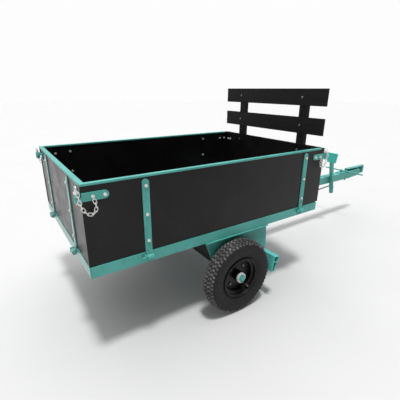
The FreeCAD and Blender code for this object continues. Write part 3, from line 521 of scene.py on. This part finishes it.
def outline(u, depth=0.0):
    """The tyre's outer surface at a distance u round from the crown, sunk by depth: (y, r)."""
    side = 1 if u >= 0 else -1
    u = abs(u)
    if u <= CROWN_LENGTH:
        angle = u / CROWN_R
        reach = CROWN_R - depth
        return side * reach * math.sin(angle), TYRE_R - CROWN_R + reach * math.cos(angle)
    angle = WALL_START - (u - CROWN_LENGTH) / WALL_RADIUS
    reach = WALL_RADIUS - depth
    return side * (WALL_Y + reach * math.cos(angle)), WALL_R + reach * math.sin(angle)


def carcass_depth(u):
    """How far the carcass lies under the outline: full depth below the tread, ribs on the sidewall."""
    u = abs(u)
    blend = min(max((u - TREAD_EDGE) / TREAD_FADE, 0), 1)
    depth = TREAD_DEPTH * (1 - blend * blend * (3 - 2 * blend))
    for place, width, height in RIBS:
        depth -= height * math.exp(-((u - place) / width) ** 2)
    return depth + WALL_DEPTH * blend


def tread_block(mesh, layer, centre, row, side, number, dust):
    """One rubber block of a row, numbered round the tyre, with side -1 for the mirrored row."""
    near, far, start_share, end_share, lean_share = row
    u0 = side * near
    u1 = side * far
    pitch = math.tau / PITCHES
    start = (number + start_share) * pitch
    end = (number + end_share) * pitch
    lean = lean_share * pitch
    steps = max(2, round(abs(u1 - u0) / BLOCK_STEP))
    rows = []
    for depth, drawn in BLOCK_LEVELS:
        inset = math.copysign(drawn * END_SHARE, u1 - u0)
        level = []
        for k in range(steps + 1):
            share = k / steps
            y, r = outline(u0 + inset + (u1 - u0 - 2 * inset) * share, depth)
            for angle in (start + drawn / TYRE_R, end - drawn / TYRE_R):
                vert = mesh.verts.new(wheel_point(centre, y, r, angle + lean * share))
                vert[layer] = dust * FOOT_DUST if depth > TREAD_DEPTH else dust
                level.append(vert)
        rows.append(level)
    flip = u1 < u0

    def face(*verts):
        made = mesh.faces.new(verts[::-1] if flip else verts)
        made.smooth = False

    for lower, upper in zip(rows, rows[1:]):
        for k in range(steps):
            a = 2 * k
            face(lower[a], upper[a], upper[a + 2], lower[a + 2])
            face(lower[a + 1], lower[a + 3], upper[a + 3], upper[a + 1])
        face(lower[0], lower[1], upper[1], upper[0])
        last = 2 * steps
        face(lower[last + 1], lower[last], upper[last], upper[last + 1])
    top = rows[-1]
    bottom = rows[0]
    for k in range(steps):
        a = 2 * k
        face(top[a], top[a + 1], top[a + 3], top[a + 2])
        face(bottom[a + 1], bottom[a], bottom[a + 2], bottom[a + 3])


def make_tyre(side, seed):
    centre = wheel_centre(side)
    mesh = bmesh.new()
    full = CROWN_LENGTH + WALL_LENGTH
    section = [(-BEAD_HALF, BEAD_R, 0)]
    for k in range(-SECTION_STEPS, SECTION_STEPS + 1):
        u = full * k / SECTION_STEPS
        section.append((*outline(u, carcass_depth(u)), GROOVE_DUST if abs(u) < TREAD_EDGE else 0))
    section += [(y, r, 0) for y, r in INSIDE]
    layer = mesh.verts.layers.float.new("dust")
    turned(mesh, layer, section, TYRE_STEPS, centre)
    rng = random.Random(seed)

    def dust():
        return rng.uniform(*BLOCK_DUST)

    for number in range(PITCHES):
        tread_block(mesh, layer, centre, MIDDLE_ROW, 1, number, dust())
        for half in (-1, 1):
            tread_block(mesh, layer, centre, INNER_ROW, half, number, dust())
            tread_block(mesh, layer, centre, OUTER_ROW, half, number, dust())
            shoulder = SHOULDER_ROWS[number % 2]
            tread_block(mesh, layer, centre, shoulder, half, number, dust() * SHOULDER_DUST)
    finish_piece("treaded_tyre_" + side, mesh, "wheel_" + side, "tyre_rubber", "tyre_" + side)


make_tyre("right", 11)
make_tyre("left", 12)


# Inner tubes, each with a bent metal valve that comes through the rim's well and ends in a knurled cap

TUBE_MIDDLE_R = 149
TUBE_HALF_WIDTH = 31
TUBE_HALF_DEPTH = 42
TUBE_SECTION_STEPS = 40
TUBE_STEPS = 96
VALVE_ANGLE = math.radians(-54)
VALVE_ROOT_R = 104
VALVE_REACH = 8
STEM_R = 3.2
BEND_START_R = 89
BEND_RADIUS = 7
BEND_STEPS = 8
CAP_START = 24
CAP_END = 38
CAP_R = 4.6
CAP_LIP = 0.8
CAP_ROUNDING = 1.5
CAP_TOP_R = 3.4
KNURL = 0.35
VALVE_SIDES = 24


def make_inner_tube(side):
    mesh = bmesh.new()
    layer = mesh.verts.layers.float.new("dust")
    section = []
    for k in range(TUBE_SECTION_STEPS):
        turn = math.tau * k / TUBE_SECTION_STEPS
        y = TUBE_HALF_WIDTH * math.cos(turn)
        section.append((y, TUBE_MIDDLE_R + TUBE_HALF_DEPTH * math.sin(turn), 0))
    turned(mesh, layer, section, TUBE_STEPS, wheel_centre(side))
    finish_piece("inner_tube_skin_" + side, mesh, "wheel_" + side, "inner_rubber", "inner_tube_" + side)


def valve_line():
    """The valve's middle line: (distance from the wheel's axis, reach outwards, radius there)."""
    line = [(VALVE_ROOT_R, VALVE_REACH, STEM_R)]
    for k in range(BEND_STEPS + 1):
        turn = math.pi / 2 * k / BEND_STEPS
        line.append((BEND_START_R - BEND_RADIUS * math.sin(turn),
                     VALVE_REACH + BEND_RADIUS * (1 - math.cos(turn)), STEM_R))
    end_r = BEND_START_R - BEND_RADIUS
    cap = ((CAP_START - 0.1, STEM_R), (CAP_START, CAP_R - 0.5), (CAP_START + CAP_LIP, CAP_R),
           (CAP_END - CAP_ROUNDING, CAP_R), (CAP_END, CAP_TOP_R))
    return line + [(end_r, reach, radius) for reach, radius in cap]


def make_valve(side):
    centre = wheel_centre(side)
    outward = Vector((0, -1 if side == "right" else 1, 0))
    radial = Vector((math.cos(VALVE_ANGLE), 0, math.sin(VALVE_ANGLE)))
    across = radial.cross(outward)
    line = valve_line()
    places = [centre + (radial * r + outward * reach) * MM for r, reach, radius in line]
    mesh = bmesh.new()
    rings = []
    for i, place in enumerate(places):
        radius = line[i][2]
        along = (places[min(i + 1, len(line) - 1)] - places[max(i - 1, 0)]).normalized()
        third = along.cross(across)
        ring = []
        for k in range(VALVE_SIDES):
            turn = math.tau * k / VALVE_SIDES
            knurled = radius - KNURL if k % 2 and radius == CAP_R else radius
            spread = (across * math.cos(turn) + third * math.sin(turn)) * knurled * MM
            ring.append(mesh.verts.new(place + spread))
        rings.append(ring)
    join_rings(mesh, rings)
    finish_piece("valve_" + side, mesh, "wheel_" + side, "zinc", material=DULL_ZINC)


for side in ("right", "left"):
    make_inner_tube(side)
    make_valve(side)


# Weld beads: rippled tubes along the joints, painted over

WELD_R = 2.4
WELD_SIDES = 8
WELD_STEP = 0.45
WELD_END = 0.45
RIPPLE_LOW = 0.80
RIPPLE_TURN = 0.9
RIPPLE_CHANCE = 0.04


class Welds:
    """Gathers beads for one body. Points are in millimetres in the cart's own frame."""

    def __init__(self, name, body, seed):
        self.name = name
        self.body = body
        self.mesh = bmesh.new()
        self.random = random.Random(seed)

    def path(self, points, radius=WELD_R, closed=False):
        places = [at(*point) for point in points]
        if closed:
            places.append(places[0])
        step = radius * WELD_STEP * MM
        beads = []
        for a, b in zip(places, places[1:]):
            count = max(1, round((b - a).length / step))
            beads += [(a.lerp(b, k / count), (b - a).normalized()) for k in range(count)]
        beads.append((places[-1], (places[-1] - places[-2]).normalized()))
        rings = []
        for index, (centre, along) in enumerate(beads):
            ripple = RIPPLE_LOW + (1 - RIPPLE_LOW) * abs(math.cos(index * RIPPLE_TURN))
            ripple += self.random.uniform(-RIPPLE_CHANCE, RIPPLE_CHANCE)
            if not closed and index in (0, len(beads) - 1):
                ripple *= WELD_END
            side = along.orthogonal().normalized()
            other = along.cross(side)
            ring = []
            for k in range(WELD_SIDES):
                turn = math.tau * k / WELD_SIDES
                spread = (side * math.cos(turn) + other * math.sin(turn)) * radius * ripple * MM
                ring.append(self.mesh.verts.new(centre + spread))
            rings.append(ring)
        join_rings(self.mesh, rings, smooth=True)

    def line(self, start, end, radius=WELD_R):
        self.path([start, end], radius)

    def stitches(self, start, end, count, share=0.45, radius=WELD_R):
        """Short beads spread evenly from start to end."""
        a = Vector(start)
        b = Vector(end)
        for k in range(count):
            middle = (k + 0.5) / count
            half = share / count / 2
            self.line(a.lerp(b, middle - half), a.lerp(b, middle + half), radius)

    def finish(self, slot="teal_paint"):
        finish_piece(self.name, self.mesh, self.body, slot)


PEDESTAL_FACE = 457
PEDESTAL_INNER = 451
PEDESTAL_WELD_XS = (562, 968)
CROSS_PLATE_WELD = ((559, -4), (598, -96))
AXLE_WELD = ((704, -192), (746, -192), (746, -234), (704, -234))
DRAWBAR_HALF = 30
DRAWBAR_BACK_WELD = ((561, -2), (582, -56))
DRAWBAR_FRONT_XS = (1371, 1398)


def at_y(points, y):
    """A line of (x, z) points, at one y."""
    return [(x, y, z) for x, z in points]


def weld_undercarriage():
    welds = Welds("welds_undercarriage", "chassis", 21)
    back, front = PEDESTAL_WELD_XS
    for side in (-1, 1):
        y = side * PEDESTAL_FACE
        welds.stitches((back, y, -4.4), (front, y, -4.4), 5)
        y = side * HALF_WIDTH
        welds.stitches((back, y, -0.2), (front, y, -0.2), 4, 0.35, 2.0)
        y = side * PEDESTAL_INNER
        welds.path(at_y(AXLE_WELD, y), closed=True)
        welds.path(at_y(CROSS_PLATE_WELD, y))
    back, front = DRAWBAR_FRONT_XS
    for side in (-1, 1):
        y = side * (DRAWBAR_HALF + 0.5)
        welds.path(at_y(DRAWBAR_BACK_WELD, y), 2.6)
        welds.line((back, y, -0.8), (front, y, -0.8))
    welds.finish()


GUDGEON_PLATE_EDGES = (23.5, 17.5)
GUDGEON_WELD_ZS = (20, 40)
GUDGEON_WELD_R = 2.0
CORNER_WELD_ZS = (3, 47)


def weld_frame():
    """The corners of the frame, and both sides of each gudgeon's plate. The left side mirrors the right."""
    welds = Welds("welds_frame", "chassis", 22)
    low, high = CORNER_WELD_ZS
    for x in (3.6, FRAME_LENGTH - 3.6):
        for side in (-1, 1):
            y = side * (HALF_WIDTH - 0.4)
            welds.line((x, y, low), (x, y, high), 1.3)
    low, high = GUDGEON_WELD_ZS
    y = HALF_WIDTH + 0.6
    for strap_x in SIDE_STRAP_XS:
        for edge in GUDGEON_PLATE_EDGES:
            x = strap_x - edge
            welds.line((x, -y, low), (x, -y, high), GUDGEON_WELD_R)
            welds.line((SIDE_LENGTH - x, y, low), (SIDE_LENGTH - x, y, high), GUDGEON_WELD_R)
    for strap_y in GATE_STRAP_YS:
        for edge in GUDGEON_PLATE_EDGES:
            y = strap_y + edge
            welds.line((-0.6, y, low), (-0.6, y, high), GUDGEON_WELD_R)
    welds.finish()


COUPLER_WELD_XS = (2362, 2660)
JAW_WELD_XS = (2487, 2660)
FOOTREST_X = 2441
HITCH_X = 2748
HITCH_WELD_R = 17.2
JAW_TOP = 26.6
JAW_UNDER = -33.4


def weld_drawbar_head():
    welds = Welds("welds_drawbar_head", "chassis", 23)
    back, front = COUPLER_WELD_XS
    for side in (-1, 1):
        welds.stitches((back, side * DRAWBAR_HALF, 0.4), (front, side * DRAWBAR_HALF, 0.4), 5, 0.4)
        x = FOOTREST_X + side * 5.4
        welds.line((x, -27, 6.2), (x, 27, 6.2), 2.6)
    for z in (JAW_TOP, JAW_UNDER):
        turns = [math.radians(degrees) for degrees in range(-85, 90, 15)]
        welds.path([(HITCH_X - HITCH_WELD_R * math.cos(turn), HITCH_WELD_R * math.sin(turn), z)
                    for turn in turns], 2.2)
    back, front = JAW_WELD_XS
    welds.line((back, 10.6, 5.6), (front, 10.6, 5.6), 2.2)
    welds.finish()


weld_undercarriage()
weld_frame()
weld_drawbar_head()


LEVER_PLACE = (2198, -45, -28)
LEVER_LEAN = math.radians(12)
LEVER_FRONT = -12.3
PEDAL_WELD_Y = 12.6
PEDAL_WELD_ZS = (172, 233)
LEVER_TOP = 235.2


def lever_point(x, y, z):
    """A point of the upright lever, leaned back with it about its pivot."""
    pivot_x, pivot_y, pivot_z = LEVER_PLACE
    return (pivot_x + x * math.cos(LEVER_LEAN) - z * math.sin(LEVER_LEAN), pivot_y + y,
            pivot_z + x * math.sin(LEVER_LEAN) + z * math.cos(LEVER_LEAN))


def weld_pedal():
    welds = Welds("welds_pedal", "brake_lever", 24)
    low, high = PEDAL_WELD_ZS
    for side in (-1, 1):
        y = side * PEDAL_WELD_Y
        welds.line(lever_point(LEVER_FRONT, y, low), lever_point(LEVER_FRONT, y, high), 2.2)
    welds.line(lever_point(LEVER_FRONT, -12, LEVER_TOP), lever_point(LEVER_FRONT, 12, LEVER_TOP), 2.2)
    welds.finish("pedal_paint")


HANGER_YS = (449, 443)
HANGER_WELD = ((952, -154.2), (982, -159))
LUG_SIDE_Y = -14.2
LUG_WELD = ((975, -191), (985.5, -165))


def weld_brake_beam():
    """Both sides of each hanger arm, and one side of the rod's lug."""
    welds = Welds("welds_brake_beam", "brake_beam", 25)
    for side in (-1, 1):
        for y in HANGER_YS:
            welds.path(at_y(HANGER_WELD, side * y), 2.2)
    welds.path(at_y(LUG_WELD, LUG_SIDE_Y), 2.2)
    welds.finish()


SIDE_SEAM_OUT = 472.0
GATE_SEAM_X = -7.0
SEAM_HALF = 15
SEAM_Z = 40.2


def weld_straps(name, body, seams):
    """The seam where each strap runs into its rolled eye."""
    welds = Welds(name, body, 26)
    for start, end in seams:
        welds.line((*start, SEAM_Z), (*end, SEAM_Z), 1.8)
    welds.finish()


weld_pedal()
weld_brake_beam()
weld_straps("welds_straps_right", "side_right",
            [((x - SEAM_HALF, -SIDE_SEAM_OUT), (x + SEAM_HALF, -SIDE_SEAM_OUT)) for x in SIDE_STRAP_XS])
left_strap_xs = [SIDE_LENGTH - x for x in SIDE_STRAP_XS]
weld_straps("welds_straps_left", "side_left",
            [((x - SEAM_HALF, SIDE_SEAM_OUT), (x + SEAM_HALF, SIDE_SEAM_OUT)) for x in left_strap_xs])
weld_straps("welds_straps_tailgate", "tailgate",
            [((GATE_SEAM_X, y - SEAM_HALF), (GATE_SEAM_X, y + SEAM_HALF)) for y in GATE_STRAP_YS])


# Floor and light

FLOOR_HALF = 30
FLOOR_DROP = 0.5


def make_floor():
    mesh = bmesh.new()
    bmesh.ops.create_grid(mesh, x_segments=2, y_segments=2, size=FLOOR_HALF)
    data = bpy.data.meshes.new("floor")
    mesh.to_mesh(data)
    mesh.free()
    floor = bpy.data.objects.new("floor", data)
    floor.location.z = -FLOOR_DROP * MM
    bpy.context.scene.collection.objects.link(floor)
    shader = Shader("pale_floor")
    shader.colour(shader.ramp(shader.noise(2, 3), (0.3, 0.56), (0.7, 0.575)))
    shader.roughness(shader.ramp(shader.noise(5, 3), (0.3, 0.75), (0.7, 0.85)))
    data.materials.append(shader.material)


SKY_AXIS = Vector((0.10, 0.38, 0.92)).normalized()
SKY_STOPS = ((0.0, 0.03), (0.4, 0.07), (0.7, 0.42), (1.0, 1.0))
SKY_STRENGTH = 2.0
KEY_FROM = Vector((-0.06, -0.20, 1.0))
KEY_STRENGTH = 2.4
KEY_SPREAD = 9
FILL_FROM = Vector((-1.0, 0.10, 0.26))
FILL_STRENGTH = 1.1
FILL_SPREAD = 50
BACKDROP = 0.985


def make_light():
    """A soft overhead glow, brightest a little behind the cart, in front of a plain pale backdrop."""
    world = bpy.data.worlds.new("studio")
    world.use_nodes = True
    tree = world.node_tree
    direction = tree.nodes.new("ShaderNodeTexCoord").outputs["Generated"]
    toward = tree.nodes.new("ShaderNodeVectorMath")
    toward.operation = "DOT_PRODUCT"
    toward.inputs[1].default_value = SKY_AXIS
    tree.links.new(direction, toward.inputs[0])
    glow = tree.nodes.new("ShaderNodeValToRGB")
    while len(glow.color_ramp.elements) < len(SKY_STOPS):
        glow.color_ramp.elements.new(0.5)
    for element, (position, grey) in zip(glow.color_ramp.elements, SKY_STOPS):
        element.position = position
        element.color = (grey, grey, grey, 1)
    tree.links.new(toward.outputs["Value"], glow.inputs["Fac"])
    sky = tree.nodes["Background"]
    sky.inputs["Strength"].default_value = SKY_STRENGTH
    tree.links.new(glow.outputs["Color"], sky.inputs["Color"])
    plain = tree.nodes.new("ShaderNodeBackground")
    plain.inputs["Color"].default_value = (BACKDROP, BACKDROP, BACKDROP, 1)
    seen = tree.nodes.new("ShaderNodeLightPath").outputs["Is Camera Ray"]
    blend = tree.nodes.new("ShaderNodeMixShader")
    tree.links.new(seen, blend.inputs["Fac"])
    tree.links.new(sky.outputs["Background"], blend.inputs[1])
    tree.links.new(plain.outputs["Background"], blend.inputs[2])
    tree.links.new(blend.outputs["Shader"], tree.nodes["World Output"].inputs["Surface"])
    bpy.context.scene.world = world
    bpy.context.scene.view_settings.view_transform = "Standard"


def make_sun(name, origin, strength, spread):
    data = bpy.data.lights.new(name, "SUN")
    data.energy = strength
    data.angle = math.radians(spread)
    lamp = bpy.data.objects.new(name, data)
    lamp.rotation_euler = (-origin).to_track_quat("-Z", "Y").to_euler()
    bpy.context.scene.collection.objects.link(lamp)


make_floor()
make_light()
make_sun("overhead", KEY_FROM, KEY_STRENGTH, KEY_SPREAD)
make_sun("fill", FILL_FROM, FILL_STRENGTH, FILL_SPREAD)
